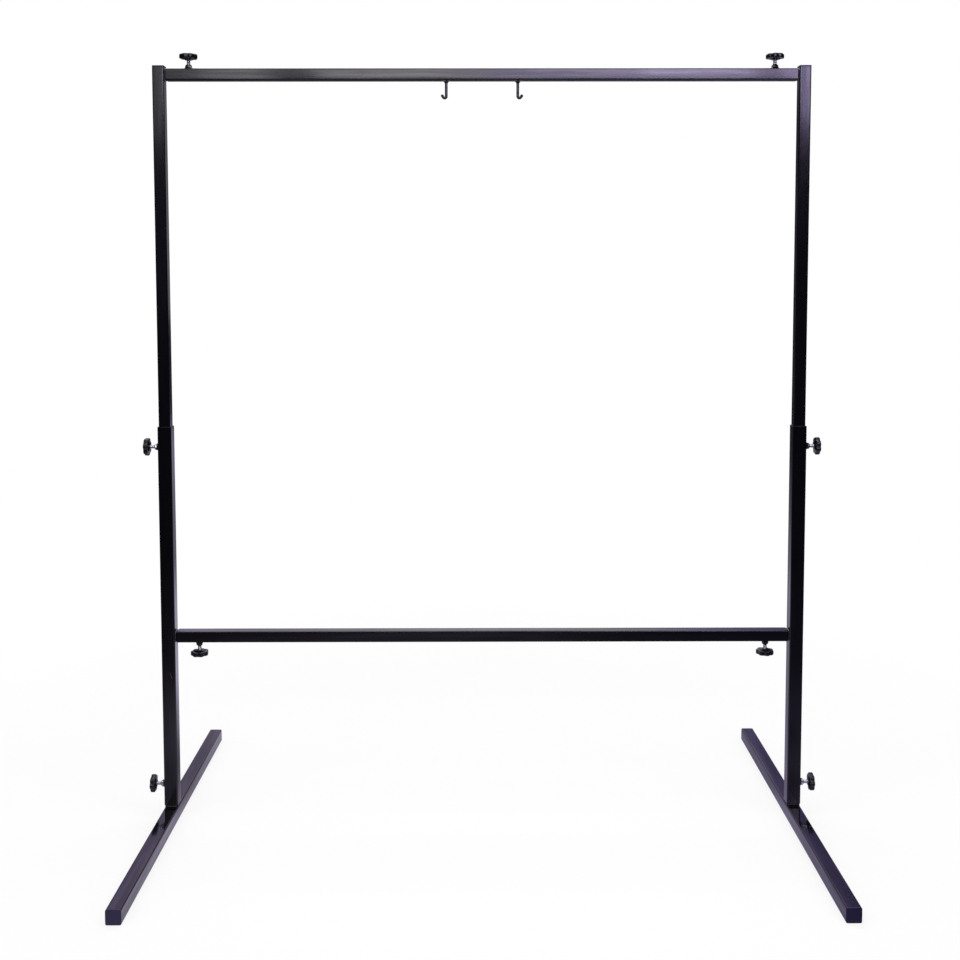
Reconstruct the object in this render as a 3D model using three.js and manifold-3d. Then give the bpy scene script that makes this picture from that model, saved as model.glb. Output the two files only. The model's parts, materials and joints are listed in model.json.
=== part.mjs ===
// Knock-down gong stand of square steel tube: two feet, two telescoping posts, two crossbars,
// two hooks for the gong's cords, and eight clamp screws with star knobs.
// Millimetres. +Z is up, X runs across the stand, the front faces -Y, and the origin lies on
// the floor in the middle of the stand.

import * as THREE from 'three';
import { mergeVertices } from 'three/addons/utils/BufferGeometryUtils.js';
import Module from 'manifold-3d';

const wasm = await Module();
wasm.setup();

// Fits
const slideFit = 0.5; // all round, between one tube and the next that slides in it
const threadFit = 0.3; // between the stud and the bores round it
const plugFit = 0.3; // all round, between an end plug's skirt and its tube
const seatGap = 0.3; // between a piece and the weld or tube that it bears on

// Tubes: the feet and lower posts are the largest, and each smaller size slides in the one before
const outerTube = 30;
const outerWall = 2;
const outerCorner = 3;
const innerTube = outerTube - 2 * (outerWall + slideFit);
const innerWall = 2;
const innerCorner = 2.5;
const spigotTube = innerTube - 2 * (innerWall + slideFit);
const spigotWall = 2;
const spigotCorner = 2;

// Stand
const postSpacing = 1370; // between the posts' centre lines
const footLength = 880; // over the end plugs
const lowerPostTop = 872;
const upperPostTop = 1638; // the tube's end, under its plug
const upperPostOverlap = 132; // of the upper post inside the lower one
const topBarSetback = 16; // from the upper post's end to the bar's centre line
const lowerBarHeight = 411; // the bar's centre line

// Spigots and the weld beads round their roots
const footSpigotLength = 100; // above the foot
const footBeadHeight = 4.7;
const footBeadWidth = 2;
const barSpigotLength = 110; // out of the post's face
const barBeadHeight = 3;
const barBeadWidth = 2;

// End plugs
const plugCap = 3;
const plugEdge = 0.8;
const plugSkirtDepth = 14;
const plugSkirtWall = 2;
const plugSkirtCorner = 1.5;

// Clamp screws
const studDiameter = 8;
const studTipChamfer = 1;
const studInKnob = 10;
const postClampSetback = 44.5; // from the lower post's end to the screw's axis
const barClampSetback = 47; // from the crossbar's end to the screw's axis
const nutAcrossFlats = 13;
const nutHeight = 9;
const nutFace = 10.4; // diameter of the flat top inside its chamfer
const nutChamferHeight = 2.8;
const nutWeldRadius = 11;
const nutWeldHeight = 6.2;
const knobStandOff = 18.5; // from the tube's face to the knob's hub
const knobDiameter = 38.5;
const knobLobeDepth = 2;
const knobRim = 9.6;
const knobEdge = 1.8;
const knobHubHeight = 3;
const knobHubFace = 15;
const knobHubBase = 26;

// Hooks
const hookSpacing = 152;
const hookRod = 6;
const hookDrop = 39; // from the bar's underside to the hook's lowest point
const hookBend = 3.4; // radius of the rod's centre line
const hookTipLength = 7;
const hookWeldRadius = 9;
const hookWeldHeight = 5.8;

// Angles
const quarterTurn = Math.PI / 2;
const halfTurn = Math.PI;
const hookTipRise = THREE.MathUtils.degToRad(55); // of the tip above level

// How finely round shapes are cut
const cornerSteps = 2;
const roundSides = 16;
const knobLobes = 7;
const pointsPerLobe = 5;
const rodSides = 8;
const rodSteps = 24;
const bendShares = [0, 0.25, 0.5, 0.75, 1];

// How far a weld's face is hollowed at its middle, towards the corner that it fills
const weldHollowShare = 0.25;

// Small lengths for the modelling itself
const cutOverrun = 1;
const mergeDistance = 0.0001;

// Places worked out from the sizes above
const postX = postSpacing / 2;
const topBarHeight = upperPostTop - topBarSetback;
const lowerPostBottom = outerTube + footBeadHeight + seatGap;
const baseClampHeight = lowerPostBottom + postClampSetback;
const mastClampHeight = lowerPostTop - postClampSetback;
const lowerBarHalf = postX - outerTube / 2 - barBeadHeight - seatGap;
const topBarHalf = postX - innerTube / 2 - barBeadHeight - seatGap;

// Finishes
const blackPaint = { color: 0x1b1b1f, roughness: 0.35, metalness: 0.0 };
const blackPlastic = { color: 0x131315, roughness: 0.42, metalness: 0.0 };
const zincPlate = { color: 0xc9c9cd, roughness: 0.25, metalness: 1.0 };

// Solids for joining and cutting

function toSolid(geometry) {
  const bare = geometry.clone();
  bare.deleteAttribute('normal');
  bare.deleteAttribute('uv');
  const merged = mergeVertices(bare, mergeDistance);
  const corners = merged.index.array;
  const kept = [];
  for (let i = 0; i < corners.length; i += 3) {
    const [a, b, c] = [corners[i], corners[i + 1], corners[i + 2]];
    if (a !== b && b !== c && c !== a) kept.push(a, b, c);
  }
  return new wasm.Manifold(new wasm.Mesh({
    numProp: 3,
    vertProperties: new Float32Array(merged.attributes.position.array),
    triVerts: new Uint32Array(kept),
  }));
}

function toGeometry(solid) {
  const mesh = solid.getMesh();
  const geometry = new THREE.BufferGeometry();
  geometry.setAttribute('position', new THREE.BufferAttribute(mesh.vertProperties, 3));
  geometry.setIndex(new THREE.BufferAttribute(mesh.triVerts, 1));
  geometry.computeVertexNormals();
  return geometry;
}

// Outlines and basic forms. Each stands on z = 0 and rises along +Z.

function traceRoundedSquare(outline, size, corner) {
  const centre = size / 2 - corner;
  outline.absarc(centre, -centre, corner, -quarterTurn, 0);
  outline.absarc(centre, centre, corner, 0, quarterTurn);
  outline.absarc(-centre, centre, corner, quarterTurn, halfTurn);
  outline.absarc(-centre, -centre, corner, halfTurn, halfTurn + quarterTurn);
  outline.closePath();
  return outline;
}

function traceSquare(outline, size) {
  const half = size / 2;
  outline.moveTo(-half, -half);
  outline.lineTo(half, -half);
  outline.lineTo(half, half);
  outline.lineTo(-half, half);
  outline.closePath();
  return outline;
}

function extruded(section, length) {
  const options = { depth: length, bevelEnabled: false, curveSegments: cornerSteps };
  return new THREE.ExtrudeGeometry(section, options);
}

function squareTube(size, wall, corner, length) {
  const section = traceRoundedSquare(new THREE.Shape(), size, corner);
  section.holes.push(traceSquare(new THREE.Path(), size - 2 * wall));
  return extruded(section, length);
}

function turned(profile, sides = roundSides) {
  const geometry = new THREE.LatheGeometry(profile.map(([r, z]) => new THREE.Vector2(r, z)), sides);
  geometry.rotateX(quarterTurn);
  return geometry;
}

function roundBar(radius, from, to, sides = roundSides) {
  const geometry = new THREE.CylinderGeometry(radius, radius, to - from, sides);
  geometry.rotateX(quarterTurn);
  geometry.translate(0, 0, (from + to) / 2);
  return geometry;
}

// A weld of revolution from the root radius on z = 0 up to a shaft's radius, a little hollow.
function weldFillet(rootRadius, shaftRadius, height) {
  const middleShare = (1 - weldHollowShare) / 2;
  return turned([
    [0, 0],
    [rootRadius, 0],
    [shaftRadius + (rootRadius - shaftRadius) * middleShare, height * middleShare],
    [shaftRadius, height],
    [0, height],
  ]);
}

// Tubes with clamp holes: each hole goes through one wall, on the side that its sign gives along X.

function drilledTube(size, wall, corner, length, holes) {
  let solid = toSolid(squareTube(size, wall, corner, length));
  for (const { height, side } of holes) {
    const drill = roundBar(studDiameter / 2 + threadFit, -cutOverrun, wall + cutOverrun);
    drill.rotateY(side * quarterTurn);
    drill.translate(side * (size / 2 - wall), 0, height);
    solid = solid.subtract(toSolid(drill));
  }
  return toGeometry(solid);
}

// A spigot of tube with a weld bead round its root, which stands on z = 0.
function weldedSpigot(size, wall, corner, length, beadHeight, beadWidth) {
  const section = traceRoundedSquare(new THREE.Shape(), size, corner);
  const bead = new THREE.ExtrudeGeometry(section, {
    depth: beadHeight,
    bevelEnabled: true,
    bevelThickness: beadHeight,
    bevelSize: beadWidth,
    bevelSegments: 1,
    curveSegments: cornerSteps,
  });
  bead.translate(0, 0, -beadHeight);
  const below = new THREE.BoxGeometry(2 * size, 2 * size, size);
  below.translate(0, 0, -size / 2);
  const bore = extruded(traceSquare(new THREE.Shape(), size - 2 * wall), length + 2 * cutOverrun);
  bore.translate(0, 0, -cutOverrun);
  const rod = extruded(section, length);
  return toGeometry(toSolid(rod).add(toSolid(bead)).subtract(toSolid(below)).subtract(toSolid(bore)));
}

// An end plug: a cap on the tube's end and a hollow skirt inside the tube, below z = 0.
function endPlug(size, wall, corner) {
  const section = traceRoundedSquare(new THREE.Shape(), size, corner);
  const cap = new THREE.ExtrudeGeometry(section, {
    depth: plugCap,
    bevelEnabled: true,
    bevelThickness: plugEdge,
    bevelSize: plugEdge,
    bevelOffset: -plugEdge,
    bevelSegments: 1,
    curveSegments: cornerSteps,
  });
  cap.translate(0, 0, -plugEdge);
  const below = new THREE.BoxGeometry(2 * size, 2 * size, size);
  below.translate(0, 0, -size / 2);
  const skirtSize = size - 2 * (wall + plugFit);
  const skirt = squareTube(skirtSize, plugSkirtWall, plugSkirtCorner, plugSkirtDepth + plugCap / 2);
  skirt.translate(0, 0, -plugSkirtDepth);
  return toGeometry(toSolid(cap).subtract(toSolid(below)).add(toSolid(skirt)));
}

// Clamp screws. Each stands on the tube's face at z = 0 and points away from the tube along +Z.

function weldNut() {
  const cornerRadius = nutAcrossFlats / Math.sqrt(3);
  const flatRadius = nutAcrossFlats / 2;
  const hexagon = roundBar(cornerRadius, 0, nutHeight, 6);
  const envelope = turned([
    [0, 0],
    [cornerRadius, 0],
    [cornerRadius, nutHeight - nutChamferHeight],
    [nutFace / 2, nutHeight],
    [0, nutHeight],
  ]);
  const bead = weldFillet(nutWeldRadius, flatRadius, nutWeldHeight);
  const bore = roundBar(studDiameter / 2 + threadFit, -cutOverrun, nutHeight + cutOverrun);
  return toGeometry(toSolid(hexagon).intersect(toSolid(envelope)).add(toSolid(bead)).subtract(toSolid(bore)));
}

// The stud reaches from the clamped inner tube to its seat inside the knob.
function clampStud(wall) {
  const tip = -(wall + slideFit) + seatGap;
  const radius = studDiameter / 2;
  const end = knobStandOff + studInKnob;
  return turned([
    [0, tip],
    [radius - studTipChamfer, tip],
    [radius, tip + studTipChamfer],
    [radius, end],
    [0, end],
  ]);
}

function starOutline() {
  const outline = [];
  const count = knobLobes * pointsPerLobe;
  for (let i = 0; i < count; i += 1) {
    const angle = 2 * Math.PI * i / count;
    const dip = knobLobeDepth * (1 - Math.cos(knobLobes * angle)) / 2;
    const radius = knobDiameter / 2 - dip;
    outline.push(new THREE.Vector2(radius * Math.cos(angle), radius * Math.sin(angle)));
  }
  return new THREE.Shape(outline);
}

function starKnob() {
  const hubFaceAt = knobStandOff;
  const rimAt = knobStandOff + knobHubHeight;
  const rim = new THREE.ExtrudeGeometry(starOutline(), {
    depth: knobRim - 2 * knobEdge,
    bevelEnabled: true,
    bevelThickness: knobEdge,
    bevelSize: knobEdge,
    bevelOffset: -knobEdge,
    bevelSegments: 2,
  });
  rim.translate(0, 0, rimAt + knobEdge);
  const hub = turned([
    [0, hubFaceAt],
    [knobHubFace / 2, hubFaceAt],
    [knobHubBase / 2, rimAt],
    [knobHubBase / 2, rimAt + knobEdge],
    [0, rimAt + knobEdge],
  ]);
  const boreEnd = knobStandOff + studInKnob + threadFit;
  const bore = roundBar(studDiameter / 2 + threadFit, hubFaceAt - cutOverrun, boreEnd);
  return toGeometry(toSolid(rim).add(toSolid(hub)).subtract(toSolid(bore)));
}

// A J-hook that hangs from z = 0. Its shank lies on the axis and its tip bends away along +X.
function gongHook() {
  const rodRadius = hookRod / 2;
  const bendHeight = -hookDrop + rodRadius + hookBend;
  const centre = new THREE.Vector3(hookBend, 0, bendHeight);
  const onBend = (angle) => new THREE.Vector3(
    centre.x + hookBend * Math.cos(angle), 0, centre.z + hookBend * Math.sin(angle));
  const tipAngle = halfTurn + quarterTurn + hookTipRise;
  const bend = new THREE.CatmullRomCurve3(
    bendShares.map((share) => onBend(halfTurn + (tipAngle - halfTurn) * share)));
  const bendEnd = onBend(tipAngle);
  const tipEnd = new THREE.Vector3(
    bendEnd.x + hookTipLength * Math.cos(hookTipRise), 0, bendEnd.z + hookTipLength * Math.sin(hookTipRise));
  const route = new THREE.CurvePath();
  route.add(new THREE.LineCurve3(new THREE.Vector3(0, 0, 0), new THREE.Vector3(0, 0, bendHeight)));
  route.add(bend);
  route.add(new THREE.LineCurve3(bendEnd, tipEnd));
  const section = new THREE.Shape();
  for (let i = 0; i < rodSides; i += 1) {
    const angle = 2 * Math.PI * (i + 0.5) / rodSides;
    const point = new THREE.Vector2(rodRadius * Math.cos(angle), rodRadius * Math.sin(angle));
    if (i === 0) section.moveTo(point.x, point.y);
    else section.lineTo(point.x, point.y);
  }
  section.closePath();
  const rod = new THREE.ExtrudeGeometry(section, { steps: rodSteps, extrudePath: route, curveSegments: 1 });
  const bead = weldFillet(hookWeldRadius, rodRadius, hookWeldHeight);
  bead.rotateX(halfTurn);
  return toGeometry(toSolid(rod).add(toSolid(bead)));
}

// Assembly

function addPiece(parent, name, geometry, finish) {
  const piece = new THREE.Mesh(geometry, new THREE.MeshStandardMaterial(finish));
  piece.name = name;
  parent.add(piece);
  return piece;
}

const nutGeometry = weldNut();
const knobGeometry = starKnob();

// A clamp on a tube's face: the place holder's +Z points out of the face.
function addClamp(parent, name, wall, knobTurn) {
  const clamp = new THREE.Group();
  addPiece(clamp, `${name}_weld_nut`, nutGeometry, blackPaint);
  addPiece(clamp, `${name}_stud`, clampStud(wall), zincPlate);
  const knob = addPiece(clamp, `${name}_knob`, knobGeometry, blackPlastic);
  knob.rotation.z = knobTurn;
  parent.add(clamp);
  return clamp;
}

// Angles at which the knobs came to rest when they were tightened, in shares of a lobe's pitch.
const lobePitch = 2 * Math.PI / knobLobes;
const knobTurnShares = {
  left_base: 0.1, left_mast: 0.45, left_lower_bar: 0.3, left_top_bar: 0.85,
  right_base: 0.7, right_mast: 0.2, right_lower_bar: 0.6, right_top_bar: 0.0,
};

const footTube = squareTube(outerTube, outerWall, outerCorner, footLength - 2 * plugCap);
const footPlug = endPlug(outerTube, outerWall, outerCorner);
const postPlug = endPlug(innerTube, innerWall, innerCorner);
const footSpigot = weldedSpigot(
  innerTube, innerWall, innerCorner, footSpigotLength, footBeadHeight, footBeadWidth);
const barSpigot = weldedSpigot(
  spigotTube, spigotWall, spigotCorner, barSpigotLength, barBeadHeight, barBeadWidth);
const lowerPost = drilledTube(outerTube, outerWall, outerCorner, lowerPostTop - lowerPostBottom, [
  { height: baseClampHeight - lowerPostBottom, side: -1 },
  { height: mastClampHeight - lowerPostBottom, side: -1 },
]);
const upperPostBottom = lowerPostTop - upperPostOverlap;
const upperPost = squareTube(innerTube, innerWall, innerCorner, upperPostTop - upperPostBottom);

// One side of the stand, drawn as the left one: outwards is -X. The right one is turned half round.
function buildSide(side, turn) {
  const group = new THREE.Group();
  group.rotation.z = turn;

  const foot = addPiece(group, `${side}_foot`, footTube, blackPaint);
  foot.rotation.x = quarterTurn;
  foot.position.set(0, footLength / 2 - plugCap, outerTube / 2);
  const frontSign = turn === 0 ? -1 : 1;
  for (const [end, sign] of [['front', frontSign], ['rear', -frontSign]]) {
    const plug = addPiece(group, `${side}_foot_${end}_plug`, footPlug, blackPlastic);
    plug.rotation.x = -sign * quarterTurn;
    plug.position.set(0, sign * (footLength / 2 - plugCap), outerTube / 2);
  }
  addPiece(group, `${side}_foot_spigot`, footSpigot, blackPaint).position.z = outerTube;

  addPiece(group, `${side}_lower_post`, lowerPost, blackPaint).position.z = lowerPostBottom;
  addPiece(group, `${side}_upper_post`, upperPost, blackPaint).position.z = upperPostBottom;
  addPiece(group, `${side}_post_plug`, postPlug, blackPlastic).position.z = upperPostTop;

  for (const [name, face, height] of [
    ['lower_bar_spigot', outerTube / 2, lowerBarHeight],
    ['top_bar_spigot', innerTube / 2, topBarHeight],
  ]) {
    const spigot = addPiece(group, `${side}_${name}`, barSpigot, blackPaint);
    spigot.rotation.y = quarterTurn;
    spigot.position.set(face, 0, height);
  }

  for (const [name, height] of [['base', baseClampHeight], ['mast', mastClampHeight]]) {
    const clampName = `${side}_${name}`;
    const clamp = addClamp(group, clampName, outerWall, lobePitch * knobTurnShares[clampName]);
    clamp.rotation.y = -quarterTurn;
    clamp.position.set(-outerTube / 2, 0, height);
  }
  return group;
}

// A crossbar along X with a clamp screw near each end, above it or below it.
function buildCrossbar(name, half, height, up) {
  const group = new THREE.Group();
  group.position.z = height;
  const reach = half - barClampSetback;
  const holes = [{ height: half - reach, side: -up }, { height: half + reach, side: -up }];
  const bar = addPiece(group, `${name}_crossbar`,
    drilledTube(innerTube, innerWall, innerCorner, 2 * half, holes), blackPaint);
  bar.rotation.y = quarterTurn;
  bar.position.x = -half;
  for (const [side, sign] of [['left', -1], ['right', 1]]) {
    const clampName = `${side}_${name}_bar`;
    const clamp = addClamp(group, clampName, innerWall, lobePitch * knobTurnShares[clampName]);
    clamp.rotation.x = up > 0 ? 0 : halfTurn;
    clamp.position.set(sign * reach, 0, up * innerTube / 2);
  }
  return group;
}

const stand = new THREE.Group();

const leftSide = buildSide('left', 0);
leftSide.position.x = -postX;
const rightSide = buildSide('right', halfTurn);
rightSide.position.x = postX;
const topBar = buildCrossbar('top', topBarHalf, topBarHeight, 1);
const lowerBar = buildCrossbar('lower', lowerBarHalf, lowerBarHeight, -1);
stand.add(leftSide, rightSide, topBar, lowerBar);

const hookGeometry = gongHook();
for (const [side, sign, turn] of [['left', -1, halfTurn], ['right', 1, 0]]) {
  const hook = addPiece(topBar, `${side}_gong_hook`, hookGeometry, blackPaint);
  hook.rotation.z = turn;
  hook.position.set(sign * hookSpacing / 2, 0, -innerTube / 2);
}

export default stand;
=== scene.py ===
# A knock-down gong stand of square steel tube: two feet, two telescoping posts, two crossbars,
# two cord hooks and eight clamp screws with star knobs, finished in black powder coat.
# The stand's frame is in metres: +Z is up, the front faces -Y, and the origin lies on the floor.

import json
import math

import bpy
import numpy as np
from mathutils import Matrix, Vector


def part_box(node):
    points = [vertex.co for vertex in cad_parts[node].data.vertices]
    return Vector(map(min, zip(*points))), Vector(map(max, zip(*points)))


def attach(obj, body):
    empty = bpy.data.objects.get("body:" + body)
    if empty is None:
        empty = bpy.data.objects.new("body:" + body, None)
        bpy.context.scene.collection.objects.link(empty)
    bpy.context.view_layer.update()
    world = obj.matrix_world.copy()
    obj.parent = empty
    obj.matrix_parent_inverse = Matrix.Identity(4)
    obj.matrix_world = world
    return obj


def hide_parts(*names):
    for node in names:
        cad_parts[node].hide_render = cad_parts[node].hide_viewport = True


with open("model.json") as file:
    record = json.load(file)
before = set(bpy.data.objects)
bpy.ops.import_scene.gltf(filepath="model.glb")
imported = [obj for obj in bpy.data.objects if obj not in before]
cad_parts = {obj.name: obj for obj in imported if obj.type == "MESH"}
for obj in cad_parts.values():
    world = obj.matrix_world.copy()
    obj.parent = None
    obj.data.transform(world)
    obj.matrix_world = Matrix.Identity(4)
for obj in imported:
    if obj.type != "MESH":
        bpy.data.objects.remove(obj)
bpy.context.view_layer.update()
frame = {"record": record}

MM = 0.001

# Sizes of the tubes and of what the pieces add to the model, in millimetres
OUTER_TUBE, OUTER_CORNER = 30.0, 3.0
INNER_TUBE, INNER_CORNER = 25.0, 2.5
SPIGOT_TUBE, SPIGOT_CORNER = 20.0, 2.0
TUBE_WALL = 2.0
TUBE_CROWN = 0.08
CUT_EDGE = 0.3
BORE_CORNER = 0.8
FLAT_GUARD = 0.5

PLUG_CAP = 3.0
PLUG_EDGE = 0.8
PLUG_CROWN = 0.2
PLUG_CROWN_SHARES = (0.85, 0.6, 0.35, 0.15)
PLUG_SEAT = 0.3
PLUG_FIT = 0.3
PLUG_FLOOR = 1.0
PLUG_SKIRT_WALL = 1.8
PLUG_SKIRT_DEPTH = 14.0
PLUG_SKIRT_LEAD = 1.5
PLUG_SKIRT_CORNER = 1.5
PLUG_FIN = 0.5
PLUG_FIN_CORNER = 2.0
PLUG_FIN_DEPTHS = (11.5, 7.5, 3.5)
PLUG_FIN_BACK = 1.6
PLUG_FIN_GAP = 2.8

# Welds. The slow waves of a run: height, radians to the millimetre, and start.
FOOT_BEAD = (4.7, 2.0)
BAR_BEAD = (3.0, 2.0)
BEAD_SINK = 0.8
BEAD_PITCH = 2.3
BEAD_BULGE = 1.25
BEAD_RIPPLE_SHARE = 0.16
BEAD_TOP_SHARE = 0.8
SLOW_WAVES = ((0.5, 0.41, 1.3), (0.3, 0.97, 0.0))
SLOW_SHARE = 0.35
WELD_HOLLOW_SHARE = 0.25
NUT_WELD_RADIUS = 11.0
NUT_WELD_HEIGHT = 6.2
NUT_WELD_PITCH = 2.5
NUT_RIPPLE_SHARE = 0.05
HOOK_WELD_RADIUS = 9.0
HOOK_WELD_HEIGHT = 5.8
HOOK_WELD_PITCH = 2.6
HOOK_RIPPLE_SHARE = 0.07
HOOK_BEAD_TOP_SHARE = 0.9

STUD_RADIUS = 4.0
STUD_PITCH = 1.25
STUD_CREST = 0.05
STUD_GROOVE = 0.62
STUD_FLANK = 1.5
STUD_LAND = 0.25
STUD_CHAMFER = 1.0
STUD_LAST_STEP = 0.05
NUT_FLATS = 13.0
NUT_HEIGHT = 9.0
NUT_FACE = 5.2
NUT_CHAMFER_HEIGHT = 2.8
NUT_CHAMFER_FIRST_SHARE = 0.08
NUT_BORE = 4.3
NUT_BORE_EDGE = 0.45

KNOB_STAND_OFF = 18.5
KNOB_RADIUS = 19.25
KNOB_LOBES = 7
KNOB_DIP = 2.5
KNOB_DIP_POWER = 1.7
KNOB_RIM = 9.6
KNOB_BORE = 4.3
KNOB_BORE_DEPTH = 10.3
KNOB_BORE_EDGE = 0.6
KNOB_HUB = 3.0
KNOB_HUB_FACE = 7.5
KNOB_HUB_BASE = 13.0
KNOB_HUB_EDGE = (0.5, 0.4)
KNOB_HUB_SHARES = (0.15, 0.35, 0.6, 0.85, 1.0)
KNOB_HUB_POWER = 1.5
KNOB_BACK_EDGE = 1.2
KNOB_BACK_STEP = 0.1
KNOB_BACK_MARGIN = 0.2
KNOB_FRONT_EDGE = 2.8
KNOB_DISH = 0.7
KNOB_DISH_RADIUS = 10.5
KNOB_DISH_LAND = 1.2
KNOB_DISH_EDGE = (0.4, 0.1)
KNOB_DISH_SHARES = (0.85, 0.5, 0.2)

HOOK_ROD = 3.0
HOOK_DROP = 39.0
HOOK_BEND = 3.4
HOOK_TIP = 7.0
HOOK_RISE = math.radians(55)
HOOK_DOME = 2.2
HOOK_LAST_SHARE = 0.02

# How finely the surfaces are cut
CORNER_POINTS = 9
FLAT_POINTS = 7
CUT_EDGE_ROWS = 4
PLUG_EDGE_ROWS = 6
BEAD_STEPS = 288
BEAD_ARC_POINTS = 7
WELD_FACE_POINTS = 8
NUT_STEPS = 144
NUT_CHAMFER_ROWS = 12
ROUND_BEAD_STEPS = 96
ROD_STEPS = 32
STUD_ROWS_TO_PITCH = 8
STEPS_TO_LOBE = 18
KNOB_BACK_ROWS = 6
KNOB_FRONT_ROWS = 9
HOOK_SHANK_ROWS = 12
HOOK_BEND_ROWS = 20
HOOK_DOME_ROWS = 7

# Angles in degrees under which neighbouring faces are shaded as one smooth surface
SMOOTH = 40
SMOOTH_NUT = 30
SMOOTH_THREAD = 60

QUARTER = math.pi / 2
TURN = 2 * math.pi


# Surfaces. Each is a grid of points: rows follow one another and columns run round.


def grid_faces(rows, columns, joined):
    """Four corners of each patch: a point, the next round, and the same two one row on."""
    row = np.arange(rows if joined else rows - 1)[:, None] * columns
    here = np.arange(columns)[None, :]
    there = np.roll(np.arange(columns), -1)[None, :]
    low, lower = (row + here).ravel(), (row + there).ravel()
    return np.stack([low, lower, lower + columns, low + columns], axis=1) % (rows * columns)


def shell(points, joined=False):
    """A closed skin over a grid. The last row joins the first, or else a fan of triangles to the
    middle of each end row closes it. Its faces are turned so that they enclose positive volume."""
    rows, columns = points.shape[:2]
    vertices = points.reshape(-1, 3)
    quads = grid_faces(rows, columns, joined)
    faces = [quads]
    if not joined:
        around = np.arange(columns)
        following = np.roll(around, -1)
        first, last = len(vertices), len(vertices) + 1
        end = (rows - 1) * columns
        vertices = np.vstack([vertices, points[0].mean(axis=0), points[-1].mean(axis=0)])
        faces.append(np.stack([following, around, np.full(columns, first)], axis=1))
        faces.append(np.stack([around + end, following + end, np.full(columns, last)], axis=1))
    volume = 0.0
    for block in faces:
        for k in range(1, block.shape[1] - 1):
            a, b, c = vertices[block[:, 0]], vertices[block[:, k]], vertices[block[:, k + 1]]
            volume += np.einsum("ij,ij->i", a, np.cross(b, c)).sum()
    if volume < 0:
        faces = [block[:, ::-1] for block in faces]
    return vertices, faces


def in_place(points, origin, along, across):
    """Local millimetres to the stand's metres: z runs along, x runs across, y completes them."""
    along, across = np.array(along, float), np.array(across, float)
    axes = np.stack([across, np.cross(along, across), along])
    return np.array(origin, float) + MM * points @ axes


def circle(steps):
    """Even angles round one turn."""
    return np.linspace(0, TURN, steps + 1)[:-1]


def ring(angle, radius, height):
    """A row of points round the local z axis."""
    level = np.full_like(angle, height)
    return np.stack([radius * np.cos(angle), radius * np.sin(angle), level], axis=1)


def make_piece(name, shells, finish, smooth=SMOOTH):
    """One mesh of several closed shells, smooth except where faces meet more sharply."""
    vertices, faces, start = [], [], 0
    for points, blocks in shells:
        vertices.append(points)
        for block in blocks:
            faces.extend((block + start).tolist())
        start += len(points)
    mesh = bpy.data.meshes.new(name)
    mesh.from_pydata(np.vstack(vertices).tolist(), [], faces)
    mesh.polygons.foreach_set("use_smooth", np.ones(len(mesh.polygons), bool))
    mesh.set_sharp_from_angle(angle=math.radians(smooth))
    mesh.materials.append(finish)
    mesh.update()
    piece = bpy.data.objects.new(name, mesh)
    bpy.context.scene.collection.objects.link(piece)
    return piece


# Outlines of square tube


def rounded_square(size, corner):
    """A square with quarter circles for corners. Each flat is a shallow parabola, because rolled
    tube is a little fuller in the middle of its sides than beside its corners."""
    centre = size / 2 - corner
    turn = np.linspace(0, QUARTER, CORNER_POINTS)
    arc = centre - TUBE_CROWN + corner * np.stack([np.cos(turn), np.sin(turn)], axis=1)
    guard = max(centre - FLAT_GUARD, centre / 2)
    across = guard * np.linspace(1, -1, FLAT_POINTS)
    flat = np.stack([across, size / 2 - TUBE_CROWN * (across / centre) ** 2], axis=1)
    side = np.vstack([arc, flat])
    turned = [side @ np.linalg.matrix_power(np.array([[0, 1], [-1, 0]]), k) for k in range(4)]
    return np.vstack(turned)


def square_rows(table):
    """A grid of rounded squares from rows of size, corner and height."""
    return np.stack([
        np.column_stack([outline, np.full(len(outline), height)])
        for outline, height in ((rounded_square(size, corner), height) for size, corner, height in table)
    ])


def square_path(size, corner, count):
    """Even steps round a rounded square: each one's place and outward direction."""
    flat = size - 2 * corner
    side = flat + corner * QUARTER
    distance = np.arange(count) * 4 * side / count
    quarter = np.floor(distance / side)
    rest = distance - quarter * side
    angle = np.clip((rest - flat) / corner, 0, QUARTER)
    x = flat / 2 + corner * np.cos(angle)
    y = np.where(rest < flat, rest - flat / 2, flat / 2 + corner * np.sin(angle))
    turn = quarter * QUARTER
    cosine, sine = np.cos(turn), np.sin(turn)
    place = np.stack([x * cosine - y * sine, x * sine + y * cosine], axis=1)
    outward = np.stack([np.cos(angle + turn), np.sin(angle + turn)], axis=1)
    return place, outward, 4 * side


def tube_shell(size, corner, length):
    """A square tube: its outside, its cut ends with rounded edges, and its bore."""
    bore = size - 2 * TUBE_WALL
    turns = np.linspace(0, QUARTER, CUT_EDGE_ROWS)
    low = [(size - 2 * CUT_EDGE * (1 - math.sin(t)), corner - CUT_EDGE * (1 - math.sin(t)),
            CUT_EDGE * (1 - math.cos(t))) for t in turns]
    guards = [(size, corner, CUT_EDGE + FLAT_GUARD), (size, corner, length - CUT_EDGE - FLAT_GUARD)]
    high = [(s, c, length - z) for s, c, z in reversed(low)]
    inside = [(bore, BORE_CORNER, length), (bore, BORE_CORNER, length - FLAT_GUARD),
              (bore, BORE_CORNER, FLAT_GUARD), (bore, BORE_CORNER, 0)]
    return square_rows(low + guards + high + inside)


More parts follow.
